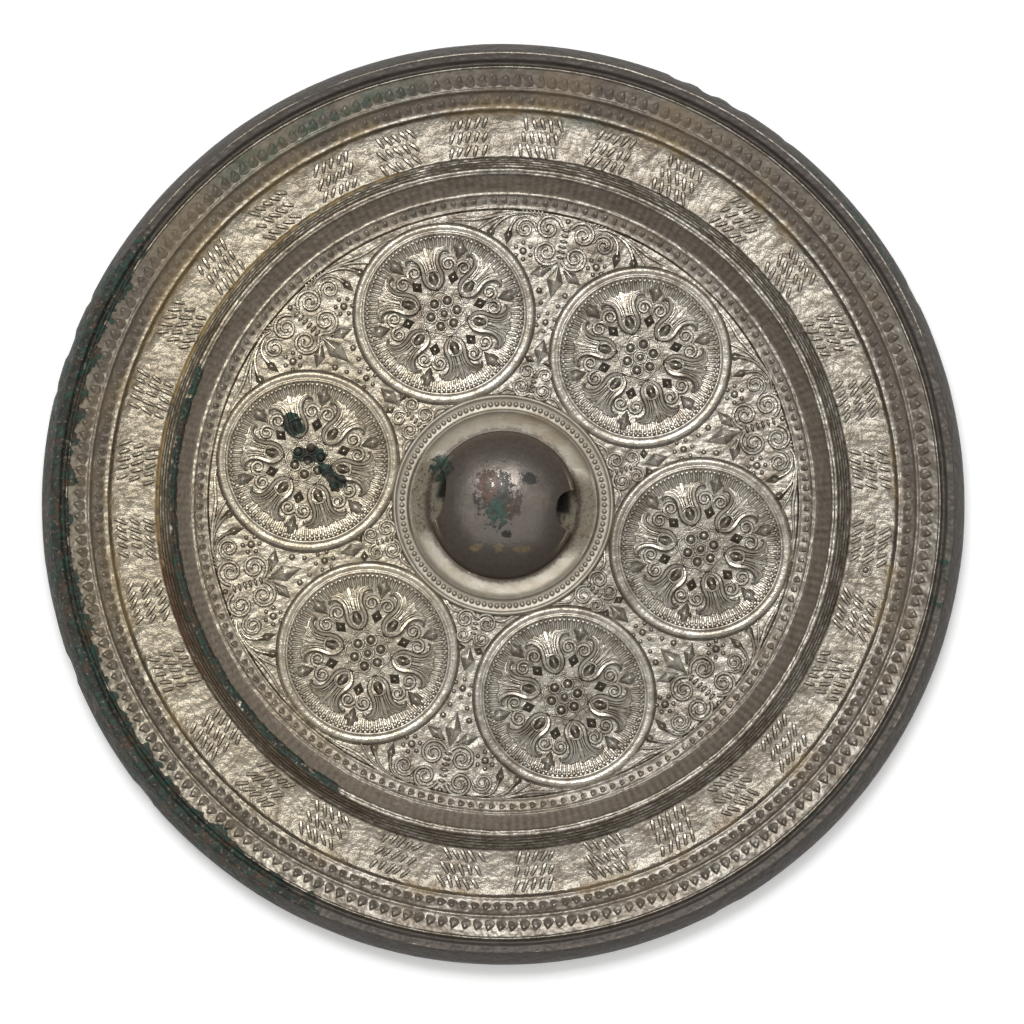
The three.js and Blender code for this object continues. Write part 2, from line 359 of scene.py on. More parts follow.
medallion = {
    "distance": 46.9, "firstAngle": -17.4, "diamondAxis": 14, "palmetteAxis": -17,
    "ring": [(0, 0.06), (4, 0.06), (9, 0.1), (14, 0.2), (17.2, 0.36), (18.2, 0.45), (18.5, 0.48), (18.65, 0.6),
             (18.85, 0.68), (19.05, 0.66), (19.25, 0.52), (19.45, 0.46), (19.7, 0.5), (19.95, 0.57),
             (20.3, 0.6), (20.65, 0.55), (20.95, 0.4), (21.2, 0.2), (21.5, 0.0), (21.65, -0.3), (0, -0.3)],
    "steps": 144, "teeth": 104, "toothFoot": 14.3, "toothSpread": (-0.7, 1.2), "toothLean": 0.8,
    # the dished floor: its height, its rise, how far out it climbs and how late
    "floor": (0.06, 0.39, 18.2, 2.6), "beadFloor": 0.05,
    # distance, height, half width and half length of the faceted forms
    "bigDiamond": (15.75, 1.25, 1.7, 2.55), "smallDiamond": (8.75, 1.1, 1.3, 1.65),
    "cup": (8.5, 2.0, 1.75, 2.5), "foot": (6.5, 0.9, 1.3, 1.5), "cupSides": 14, "cupFlat": 0.1,
    # height and radius of the beads; height, radius and thickness of the rings
    "beadDistance": 3.15, "bead": (1.0, 1.0), "beadRing": (0.28, 1.3, 0.27),
    "centreBead": (1.1, 0.95), "centreRing": (0.28, 1.42, 0.28),
    "sideRingDistance": 5.95, "sideRingAngle": 15.5, "sideRing": (0.25, 0.56, 0.22),
    # the wavy line round the bead: steps in a sixth, distance and swing
    "scallop": (8, 4.95, 0.32),
}


def floorRise(distance):
    # the medallion's floor is dished and climbs to its ring
    height, rise, reach, lateness = medallion["floor"]
    return height + rise * (min(distance, reach) / reach) ** lateness


def medallionRays():
    # fine teeth inside the ring that thin out towards the middle
    spread = random.Random(11)
    rays = []
    for k in range(medallion["teeth"]):
        angle = 360 * k / medallion["teeth"]
        inner = medallion["toothFoot"] + spread.uniform(*medallion["toothSpread"])
        lean = spread.uniform(-medallion["toothLean"], medallion["toothLean"])
        rays.append(turnedLine([
            (0, 18.35, floorRise(18.3) + 0.16, 0.32), (0, 17.95, floorRise(17.9) + 0.22, 0.5),
            (0, 17.5, floorRise(17.5) + 0.1, 0.34), (lean * 0.1, 16.2, floorRise(16.2) + 0.03, 0.3),
            (lean * 0.3, inner, floorRise(inner) - 0.02, 0.1)], angle))
    return rays


def palmetteLines():
    # the flared wall of the palmette, the ridges that follow it inside, and fine lines fanning out
    wall = [(0.2, 6.0, 0.6, 0.3), (1.15, 6.55, 0.85, 0.45), (1.95, 7.6, 1.15, 0.55), (2.2, 9.0, 1.35, 0.58),
            (1.98, 10.6, 1.3, 0.56), (2.05, 12.1, 1.12, 0.52), (2.8, 13.5, 0.92, 0.48), (4.0, 14.2, 0.8, 0.46),
            (5.0, 13.95, 0.7, 0.4), (5.15, 13.2, 0.6, 0.28)]
    second = [(1.2, 10.2, 1.15, 0.24), (1.25, 11.9, 1.0, 0.27), (1.75, 13.5, 0.85, 0.27),
              (2.75, 14.6, 0.72, 0.25), (4.1, 14.95, 0.6, 0.2), (4.9, 14.75, 0.55, 0.12)]
    third = [(0.72, 10.3, 1.2, 0.18), (0.8, 12.1, 1.0, 0.2), (1.2, 13.8, 0.85, 0.2), (1.95, 15.0, 0.72, 0.18),
             (2.8, 15.5, 0.6, 0.1)]
    fan = [(2.3, 12.2, 0.85, 0.16), (3.1, 13.25, 0.7, 0.16), (4.1, 13.6, 0.6, 0.15), (4.6, 13.3, 0.5, 0.1)]
    tip = [(0.5, 12.6, 0.95, 0.14), (0.62, 14.2, 0.8, 0.16), (1.15, 15.3, 0.66, 0.2), (1.25, 15.7, 0.6, 0.1)]
    middle = [(0, 10.2, 0.85, 0.5), (0, 12.4, 0.62, 0.6), (0, 14.4, 0.36, 0.75), (0, 15.9, 0.3, 0.5)]
    mouth = [(-1.5, 9.7, 1.5, 0.2), (-0.8, 10.15, 1.45, 0.26), (0, 10.3, 1.4, 0.28), (0.8, 10.15, 1.45, 0.26),
             (1.5, 9.7, 1.5, 0.2)]
    return bothSides([wall, second, third, fan, tip]) + [middle, mouth]


def medallionLines():
    # one sixth of the medallion
    volute = scrollLine(1.85, 11.5, 0.55, 1.7, 0.62, 282, 1.15, 0.47)
    stem = [(0.25, 10.2, 0.4, 0.26), (0.2, 11.2, 0.5, 0.32), (0.35, 12.3, 0.5, 0.3)]
    lines = [turnedLine(line, medallion["diamondAxis"]) for line in bothSides([volute, stem])]
    lines += [turnedLine(line, medallion["palmetteAxis"]) for line in palmetteLines()]
    steps, distance, swing = medallion["scallop"]
    scallops = []
    for i in range(steps + 1):
        angle = -30 + 60 * i / steps
        reach = distance + swing * math.cos(2 * math.pi * i / steps)
        scallops.append((*turnedPoint(0, reach, medallion["diamondAxis"] + angle), 0.28, 0.25))
    return lines + [scallops]


def makeMedallion():
    plate = spunShape("medallion", medallion["ring"], medallion["steps"])
    sixth = wireRelief("sixth", medallionLines())
    setMode("EDIT")
    # pyramids, a bead and its ring on the diamond axis
    axis, floor = medallion["diamondAxis"], medallion["beadFloor"]
    for form in ("bigDiamond", "smallDiamond"):
        distance, *size = medallion[form]
        addBud(*turnedPoint(0, distance, axis), *size, floorRise(distance - 0.05), axis)
    x, y = turnedPoint(0, medallion["beadDistance"], axis)
    addDome(x, y, *medallion["bead"], floor)
    addRinglet(x, y, *medallion["beadRing"])
    # the cup of the palmette, its pointed foot and two small rings
    axis = medallion["palmetteAxis"]
    for form, sides, flat in (("cup", medallion["cupSides"], medallion["cupFlat"]), ("foot", 4, 0.12)):
        distance, *size = medallion[form]
        addBud(*turnedPoint(0, distance, axis), *size, floor, axis, sides, flat)
    for side in (-1, 1):
        place = turnedPoint(0, medallion["sideRingDistance"], axis + side * medallion["sideRingAngle"])
        addRinglet(*place, *medallion["sideRing"], 10)
    allRound(repeats)
    endRelief(sixth)
    body = palmetteBodies()
    clearSelection()
    centre = startRelief("centre")
    addDome(0, 0, *medallion["centreBead"], floor, 12, 8)
    addRinglet(0, 0, *medallion["centreRing"], 16)
    endRelief(centre)
    rays = wireRelief("rays", medallionRays(), 2)
    return smoothed(joined("medallion", plate, sixth, body, centre, rays), 46)


palmetteShape = {
    # half of the outline of the palmette's body, from its foot to the middle of its crown
    "outline": [(0, 5.9), (1.5, 6.8), (2.1, 8.4), (1.95, 10.4), (2.05, 12.2), (2.9, 13.6), (4.2, 14.3),
                (5, 14.0), (4.4, 14.9), (3.0, 15.5), (1.7, 15.35), (0.9, 15.5), (0.3, 16.1)],
    "thickness": 0.5, "edge": 0.22, "cupEnd": 9, "cupLift": 0.1, "crownLift": 0.25, "crownFall": 0.055,
}


def palmetteBodies():
    # the body under the palmette's ridges: a flat curve, lifted least at the cup, falling to its crown
    clearSelection()
    bpy.ops.object.add(type="CURVE")
    plate = bpy.context.object
    shape = plate.data
    shape.dimensions = "2D"
    shape.fill_mode = "BOTH"
    shape.extrude = palmetteShape["thickness"] * mm
    shape.bevel_depth = palmetteShape["edge"] * mm
    shape.offset = -palmetteShape["edge"] * mm
    shape.bevel_resolution = 1
    shape.resolution_u = 3
    outline = palmetteShape["outline"]
    around = outline + [(-x, y) for x, y in reversed(outline[1:-1])]
    line = [(*turnedPoint(x, y, medallion["palmetteAxis"]), 0, 1) for x, y in around]
    addSpline(shape, line).use_cyclic_u = True
    bpy.ops.object.convert(target="MESH")
    plate = bpy.context.object
    for vertex in plate.data.vertices:
        reach = math.hypot(vertex.co.x, vertex.co.y) / mm
        past = reach - palmetteShape["cupEnd"]
        fallen = palmetteShape["crownLift"] - palmetteShape["crownFall"] * past
        vertex.co.z += (fallen if past > 0 else palmetteShape["cupLift"]) * mm
    setMode("EDIT")
    allRound(repeats)
    return endRelief(plate)


# Bars: count, first place, gap, height and half sizes. Leaves: place, height, half width, half length and turn.
# Beads: place, height and radius. Flowers of six small beads: place, distance, height, radius and first angle.
outerScrolls = {
    "axis": 12.7, "bars": (6, 59.3, 1.3, 0.15, (1.05, 0.4, 0.62)),
    "middle": {"leaves": [(0, 53.6, 1.25, 1.95, 4.1, 0)],
               "beads": [(0, 68.0, 0.75, 0.7), (0, 43.8, 0.95, 0.85)],
               "flowers": [(0, 43.8, 2.15, 0.6, 0.55, 0)]},
    "sides": {"leaves": [(3.7, 55.2, 1.05, 1.35, 2.7, 117), (12.95, 61.9, 0.95, 1.0, 2.3, 2),
                         (17.1, 61.7, 0.95, 1.0, 2.4, -14)],
              "beads": [(3.1, 50.8, 0.8, 0.78), (2.05, 48.1, 0.65, 0.6), (8.75, 59.0, 0.95, 0.95)],
              "flowers": [(8.75, 59.0, 1.95, 0.65, 0.58, 12)]},
    # how many teeth the comb has and where it starts
    "comb": (6, 5.6, 67.9),
}
innerScrolls = {
    "axis": 13.5, "bars": (5, 27.3, 1.15, 0.12, (0.8, 0.36, 0.55)),
    "middle": {"leaves": [(0, 36.9, 1.2, 1.65, 2.9, 0)], "beads": [], "flowers": []},
    "sides": {"leaves": [(2.25, 34.6, 0.9, 0.95, 1.35, 75)], "beads": [], "flowers": []},
}


def addForms(forms, side):
    # side is -1 for the forms flipped to the other side of the axis
    for x, y, *size, turn in forms["leaves"]:
        addBud(side * x, y, *size, 0, side * turn)
    for x, y, *size in forms["beads"]:
        addDome(side * x, y, *size)
    for x, y, distance, *size, firstAngle in forms["flowers"]:
        for k in range(6):
            dotX, dotY = turnedPoint(0, distance, firstAngle + 60 * k)
            addDome(side * (x + dotX), y + dotY, *size, 0, 8, 5)


def makeScroll(name, lines, scrolls):
    # one sixth: the wires, the bars across the stem, and the forms on the axis and on both sides of it
    wires = wireRelief(name, lines)
    setMode("EDIT")
    count, first, gap, height, halfSizes = scrolls["bars"]
    for i in range(count):
        addBall(0, first + i * gap, height, halfSizes, 8, 6)
    addForms(scrolls["middle"], 1)
    for side in (-1, 1):
        addForms(scrolls["sides"], side)
    endRelief(wires)
    return smoothed(wires, 46)


def outerScrollLines():
    big = scrollLine(4.1, 65.5, 0.5, 3.2, 0.65, 287, 1.65, 0.44)
    lower = scrollLine(3.4, 59.9, 0.5, 3.25, 0.65, 243, -1.65, 0.44)
    small = scrollLine(9.4, 64.2, 0.45, 2.45, 0.55, 310, 1.5, 0.38)
    ogee = [(7.4, 67.6, 0.3, 0.25), (9.2, 68.0, 0.42, 0.34), (11.5, 67.6, 0.5, 0.42), (14.5, 66.7, 0.5, 0.45),
            (17.5, 65.4, 0.5, 0.45), (20.2, 64.1, 0.45, 0.42), (22.6, 63.4, 0.4, 0.38), (25.5, 62.7, 0.3, 0.3),
            (28.5, 61.4, 0.15, 0.2)]
    nearLeaf = [(9.6, 67.3, 0.35, 0.2), (11.6, 66.4, 0.5, 0.3), (12.6, 64.7, 0.7, 0.34),
                (12.85, 62.8, 1.0, 0.26)]
    midLeaf = [(11.4, 67.4, 0.4, 0.2), (13.9, 66.2, 0.5, 0.32), (15.6, 64.6, 0.75, 0.36),
               (16.7, 62.6, 1.0, 0.28)]
    farLeaf = [(13.2, 66.9, 0.4, 0.2), (16.2, 65.4, 0.5, 0.3), (18.4, 63.6, 0.6, 0.3), (20.2, 61.6, 0.6, 0.2)]
    comb = []
    count, firstX, firstY = outerScrolls["comb"]
    for i in range(count):
        x = firstX + i
        y = firstY + 0.1 * i - 0.012 * i * i
        comb.append([(x, y, 0.3, 0.24), (x + 0.7, y + 0.9 - 0.08 * i, 0.35, 0.26),
                     (x + 1.2, y + 1.5 - 0.2 * i, 0.25, 0.14)])
    link = [(6.6, 64.2, 0.35, 0.26), (7.3, 65.2, 0.35, 0.28), (7.7, 66.2, 0.35, 0.24)]
    midRib = [(0, 57.6, 0.7, 0.16), (0, 55.6, 1.3, 0.2), (0, 53.6, 1.62, 0.16)]
    sideRib = [(1.2, 57.2, 0.6, 0.14), (2.4, 56.2, 1.0, 0.18), (3.6, 55.3, 1.32, 0.15)]
    lines = bothSides([big, lower, small, ogee, nearLeaf, midLeaf, farLeaf, link, sideRib] + comb)
    return lines + [midRib]


def innerScrollLines():
    upper = scrollLine(2.2, 31.6, 0.42, 1.95, 0.5, 265, 1.3, 0.34)
    lower = scrollLine(2.55, 27.9, 0.42, 2.35, 0.55, 240, -1.5, 0.37)
    cusp = [(2.2, 25.9, 0.2, 0.16), (4.2, 26.5, 0.3, 0.28), (5.6, 26.6, 0.32, 0.34), (7.2, 25.4, 0.3, 0.3),
            (8.6, 24.1, 0.15, 0.18)]
    rib = [(0, 33.6, 0.7, 0.15), (0, 35.4, 1.3, 0.18), (0, 37, 1.6, 0.14)]
    return bothSides([upper, lower, cusp]) + [rib]


knob = {
    "radius": 17.2, "steps": 192, "bands": 26,
    "seat": [(17.35, 3.5), (17.7, 3.44), (18.5, 3.48), (19.5, 3.58), (20.5, 3.78), (21.2, 4.04), (21.6, 4.34),
             (21.85, 4.48), (22.1, 4.4), (22.3, 4.1), (22.6, 3.95), (23.6, 3.9), (24.6, 3.95), (24.9, 4.1),
             (25.15, 4.36), (25.4, 4.42), (25.65, 4.3), (25.9, 3.9), (26.1, 3.3), (26.1, 3.1), (0, 3.1)],
    "beads": 100, "beadRing": 23.6, "bead": (0.62, 0.64, 3.95), "footRise": 0.15, "waveSize": 6, "wave": 0.12,
    "holeTurn": -7, "holeOffset": 0.35, "holeFloor": 3.6, "holeReach": 17.8,
    # width and height of the hole at both mouths and in the middle, and the curves it widens and arches by
    "leftMouth": (14.2, 7.2), "middleHole": (9.4, 5.4), "rightMouth": (10.4, 9.2), "flare": 1.6, "arch": 0.8,
}


def knobProfile():
    foot = fieldHeight + knob["footRise"]
    dome = []
    for i in range(knob["bands"]):
        lift = math.pi / 2 * (1 - i / knob["bands"])
        dome.append((knob["radius"] * math.cos(lift), foot + (knobTop - foot) * math.sin(lift)))
    dome[0] = (0, knobTop)
    return dome + knob["seat"]


def holeCutter():
    # a lying half-round bar that flares to both mouths
    clearSelection()
    bpy.ops.mesh.primitive_cylinder_add(vertices=36, radius=1, depth=2, rotation=(0, math.pi / 2, 0))
    cutter = bpy.context.object
    applied(rotation=True)
    setMode("EDIT")
    for place in (-0.5, 0, 0.5):
        selectMesh()
        bpy.ops.mesh.bisect(plane_co=(place, 0, 0), plane_no=(1, 0, 0))
    selectMesh()
    bpy.ops.mesh.bisect(plane_co=(0, 0, 0), plane_no=(0, 0, -1), use_fill=True, clear_outer=True)
    setMode("OBJECT")
    left, middle, right = knob["leftMouth"], knob["middleHole"], knob["rightMouth"]
    for vertex in cutter.data.vertices:
        along = vertex.co.x
        mouth = left if along < 0 else right
        width = middle[0] + (mouth[0] - middle[0]) * abs(along) ** knob["flare"]
        height = middle[1] + (mouth[1] - middle[1]) * abs(along) ** knob["flare"]
        across = abs(vertex.co.y) ** knob["arch"] * math.copysign(1, vertex.co.y)
        vertex.co.x = along * (knob["holeReach"] + 1) * mm
        vertex.co.y = across * width / 2 * mm
        vertex.co.z = abs(vertex.co.z) ** knob["arch"] * height * mm
    cutter.rotation_euler = (0, 0, math.radians(knob["holeTurn"]))
    cutter.location = (0, knob["holeOffset"] * mm, knob["holeFloor"] * mm)
    applied(True, True, True)
    setMode("EDIT")
    selectMesh()
    bpy.ops.mesh.normals_make_consistent(inside=False)
    setMode("OBJECT")
    return cutter


def makeKnob():
    dome = spunShape("knob", knobProfile(), knob["steps"])
    madeUneven(dome, knob["waveSize"], knob["wave"], "knobWave")
    cutter = holeCutter()
    makeActive(dome)
    bpy.ops.object.modifier_add(type="BOOLEAN")
    dome.modifiers[-1].object = cutter
    dome.modifiers[-1].operation = "DIFFERENCE"
    dome.modifiers[-1].solver = "EXACT"
    bpy.ops.object.modifier_apply(modifier=dome.modifiers[-1].name)
    deleted(cutter)
    beads = startRelief("beads")
    addDome(0, knob["beadRing"], *knob["bead"], 10, 7)
    allRound(knob["beads"])
    endRelief(beads)
    whole = joined("knob", dome, beads)
    whole.location = (0, fieldShift[1] * mm, 0)
    applied(location=True)
    return smoothed(whole, 40)


script = {
    "blocks": 32, "firstAngle": 107.5, "radius": 85.75, "height": 5.2, "dotAngle": 100.6,
    "dot": (0.75, 0.8), "dotRing": (1.35, 0.25), "dotRingLift": 0.15,
    "rows": 3, "rowGap": 3.2, "columns": 5, "columnGap": 1.95, "rowShift": 0.4, "halfLength": (1.15, 1.6),
    # how far the blocks, their slant, the turn of a dash and its place stray
    "slant": 62, "blockStray": 0.6, "slantStray": 14, "turnStray": 9, "placeStray": 0.15,
}


def scriptLines():
    # blocks of slanting dashes in rows, where a verse ran; they never meet and spell nothing
    spread = random.Random(5)
    lines = []

    def stray(name):
        return spread.uniform(-script[name], script[name])

    for block in range(script["blocks"]):
        middle = script["firstAngle"] + block * 360 / script["blocks"] + stray("blockStray")
        slant = (script["slant"] if block % 2 else -script["slant"]) + stray("slantStray")
        for row in range(script["rows"]):
            for column in range(script["columns"]):
                fromRow = row - (script["rows"] - 1) / 2
                fromColumn = column - (script["columns"] - 1) / 2
                x = fromColumn * script["columnGap"] + fromRow * script["rowShift"] + stray("placeStray")
                y = fromRow * script["rowGap"] + stray("placeStray")
                half = spread.uniform(*script["halfLength"])
                dx, dy = turnedPoint(half, 0, slant + stray("turnStray"))
                line = [(x - dx, y - dy, 0.14, 0.34), (x - dx * 0.5, y - dy * 0.5, 0.28, 0.46),
                        (x + dx * 0.5, y + dy * 0.5, 0.28, 0.46), (x + dx, y + dy, 0.14, 0.38)]
                moved = [(px, py + script["radius"], script["height"] + z, r) for px, py, z, r in line]
                lines.append(turnedLine(moved, middle))
    return lines


def makeScript():
    strokes = wireRelief("band_strokes", scriptLines(), 2)
    setMode("EDIT")
    x, y = turnedPoint(0, script["radius"], script["dotAngle"])
    addDome(x, y, *script["dot"], script["height"])
    addRinglet(x, y, script["height"] + script["dotRingLift"], *script["dotRing"])
    endRelief(strokes)
    return smoothed(strokes, 50)


print("disc")
pieces = [makeDisc()]
print("teeth")
pieces += [makeToothRow(name) for name in toothNames]
print("medallions")
firstMedallion = makeMedallion()
for k in range(repeats):
    angle = medallion["firstAngle"] + 60 * k
    pieces.append(copied(firstMedallion, f"medallion_{k + 1}", angle, medallion["distance"], fieldHeight))
deleted(firstMedallion)
print("scrollwork")
firstOuter = makeScroll("outer_scroll", outerScrollLines(), outerScrolls)
firstInner = makeScroll("inner_scroll", innerScrollLines(), innerScrolls)
for k in range(repeats):
    for first, scrolls in ((firstOuter, outerScrolls), (firstInner, innerScrolls)):
        turn = scrolls["axis"] + 60 * k
        pieces.append(copied(first, f"{first.name}_{k + 1}", 0, 0, fieldHeight, turn))
deleted(firstOuter, firstInner)
print("knob")
pieces.append(makeKnob())
print("strokes")
pieces.append(makeScript())


class Value:
    # wraps a socket, so that shader maths reads as plain sums
    def __init__(self, finish, socket):
        self.finish = finish
        self.socket = socket

    def maths(self, operation, *values):
        return self.finish.maths(operation, *values)

    def __add__(self, other):
        return self.maths("ADD", self, other)

    __radd__ = __add__

    def __sub__(self, other):
        return self.maths("SUBTRACT", self, other)

    def __rsub__(self, other):
        return self.maths("SUBTRACT", other, self)

    def __mul__(self, other):
        return self.maths("MULTIPLY", self, other)

    __rmul__ = __mul__

    def __truediv__(self, other):
        return self.maths("DIVIDE", self, other)

    def __pow__(self, other):
        return self.maths("POWER", self, other)


class Finish:
    def __init__(self, name):
        self.material = bpy.data.materials.new(name)
        self.material.use_nodes = True
        self.tree = self.material.node_tree
        self.tree.nodes.clear()
        self.place = self.node("ShaderNodeTexCoord", {}, {}, "Object")

    def node(self, kind, settings, inputs, output=0):
        # settings first, then the values or links of the sockets
        added = self.tree.nodes.new(kind)
        for key, value in settings.items():
            setattr(added, key, value)
        pairs = inputs.items() if isinstance(inputs, dict) else enumerate(inputs)
        for key, value in pairs:
            if isinstance(value, Value):
                self.tree.links.new(value.socket, added.inputs[key])
            else:
                added.inputs[key].default_value = value
        return Value(self, added.outputs[output])

    def noise(self, scale, detail, roughness):
        inputs = {"Vector": self.place, "Scale": scale, "Detail": detail, "Roughness": roughness}
        return self.node("ShaderNodeTexNoise", {}, inputs, "Fac")

    def smooth(self, value, start, end):
        settings = {"interpolation_type": "SMOOTHSTEP"}
        return self.node("ShaderNodeMapRange", settings, [value, start, end, 0.0, 1.0])

    def between(self, value, start, end, soft):
        return self.smooth(value, start - soft, start + soft) * self.smooth(value, end + soft, end - soft)

    def mixed(self, factor, first, second):
        # a name stands for its tone
        first, second = [color(*tones[part]) if isinstance(part, str) else part for part in (first, second)]
        return self.node("ShaderNodeMix", {"data_type": "RGBA"}, {0: factor, 6: first, 7: second}, 2)

    def closed(self, shader):
        output = self.tree.nodes.new("ShaderNodeOutputMaterial")
        self.tree.links.new(shader.socket, output.inputs["Surface"])
        return self.material

    def places(self):
        # x, y and height in millimetres
        parts = self.tree.nodes.new("ShaderNodeSeparateXYZ")
        self.tree.links.new(self.place.socket, parts.inputs[0])
        return [Value(self, parts.outputs[i]) / mm for i in range(3)]

    def maths(self, operation, *values):
        return self.node("ShaderNodeMath", {"operation": operation}, values)

    def larger(self, first, *others):
        for other in others:
            first = self.maths("MAXIMUM", first, other)
        return first

    def patch(self, x, y, middle, halfSize, ragged):
        # 1 inside an oval round a point, with an edge that the ragged noise eats into
        across = (x - middle[0]) / halfSize[0]
        along = (y - middle[1]) / halfSize[1]
        return self.smooth(across * across + along * along + (0.5 - ragged) * 3.2, 1.05, 0.85)

    def sector(self, angle, middle, halfWidth, soft):
        # 1 inside the sector round an angle, falling off over soft degrees
        turn = self.maths("COSINE", angle - math.radians(middle))
        outside = math.cos(math.radians(min(179, halfWidth + soft)))
        inside = math.cos(math.radians(max(0, halfWidth - soft)))
        return self.smooth(turn, outside, inside)

    def filmed(self, base, roughness, skinTone, skinLook, film, bumpHeight):
        # bare metal under a dull skin, which shows where the film is thick
        normal = self.node(
            "ShaderNodeBump", {}, {"Height": bumpHeight, "Strength": 1.0, "Distance": 0.1 * mm}, "Normal")
        metal = self.node("ShaderNodeBsdfPrincipled", {}, {
            "Base Color": base, "Roughness": roughness, "Metallic": 1.0, "Normal": normal})
        skin = self.node("ShaderNodeBsdfPrincipled", {}, {
            "Base Color": skinTone, "Roughness": skinLook["roughness"],
            "Specular IOR Level": skinLook["specular"], "Normal": normal})
        return self.closed(self.node("ShaderNodeMixShader", {}, [film, metal, skin]))


def color(red, green, blue):
    # from display values 0..255 to linear light
    linear = []
    for value in (red, green, blue):
        share = value / 255
        linear.append(share / 12.92 if share <= 0.04045 else ((share + 0.055) / 1.055) ** 2.4)
    return (*linear, 1)


# soot tones a dark spot on the knob and the painted shadow inside its hole
tones = {
    "silver": (168, 163, 153), "warm": (150, 142, 128), "brown": (92, 84, 75), "dark": (102, 93, 85),
    "film": (98, 89, 80), "rim": (74, 68, 63), "tan": (118, 105, 87), "gold": (158, 132, 84),
    "crust": (38, 54, 46), "blackGreen": (38, 38, 33), "verdigris": (37, 70, 58), "teal": (54, 88, 76),
    "rust": (84, 54, 40), "umber": (66, 53, 40), "sootAndShadow": (28, 24, 20), "knob": (116, 109, 103),
    "slope": (132, 120, 107), "wall": (64, 59, 54), "ochre": (126, 108, 78), "foot": (80, 71, 64),
    "straw": (166, 154, 126),
}

# Distances from the middle where a zone starts to show and where it shows in full.
zones = {"field": (68.9, 68.2), "rim": (101.7, 102.0), "wall": (104.8, 105.0), "crustReach": (95.5, 104)}

# Rings of the disc: start, end and softness.
rings = {
    "band": (81.2, 91.6, 0.6), "bandStain": (90.0, 93.0, 1.1), "bandTint": (88.5, 92.4, 1),
    "edge": (104.45, 104.8, 0.08), "steps": (92.4, 101, 0.5), "stepTint": (96, 101, 0.8),
    "goldLine": (80.0, 81.2, 0.3), "rustLine": (79.7, 81.0, 0.3), "brownFlank": (77.7, 80.0, 0.3),
    "ridgeCrust": (75.6, 77.9, 0.5), "slope": (72.6, 76.2, 0.25), "beadStep": (69.0, 72.2, 0.3),
}

# Sectors round the middle: angle, half width and softness.
sectors = {
    "wornEdge": (28, 40, 8), "straw": (270, 55, 30), "thinSteps": (185, 85, 30), "darkSlope": (95, 70, 40),
    "goldLine": (300, 44, 8), "rustLine": (250, 12, 3), "brownFlank": (232, 32, 8),
    "rimCrust": (256, 52, 10), "ridgeCrust": (252, 46, 8), "wallGreen": (52, 9, 5), "rimSpots": (115, 28, 6),
    "stepTint": (333, 13, 6), "bandTint": (10.5, 3.2, 2.5),
}

# How thick the dull film is on each part of the disc.
films = {
    "steps": 0.86, "thinSteps": 0.42, "clearSteps": 0.16, "beadStep": 0.4, "rim": 0.76, "wall": 0.93,
    "slope": 0.72, "goldLine": 0.55, "brownFlank": 0.7, "rustLine": 0.8, "bandStain": 0.7, "tint": 0.8,
}

# Patches of green crust on the western medallion: middle and half size.
fieldPatches = [((-49, 18.2), (2.6, 2.8)), ((-44.5, 11.2), (4.4, 2.2)), ((-38.5, 5.2), (3.0, 2.2)),
                ((-41.5, 7.4), (2.2, 1.6))]


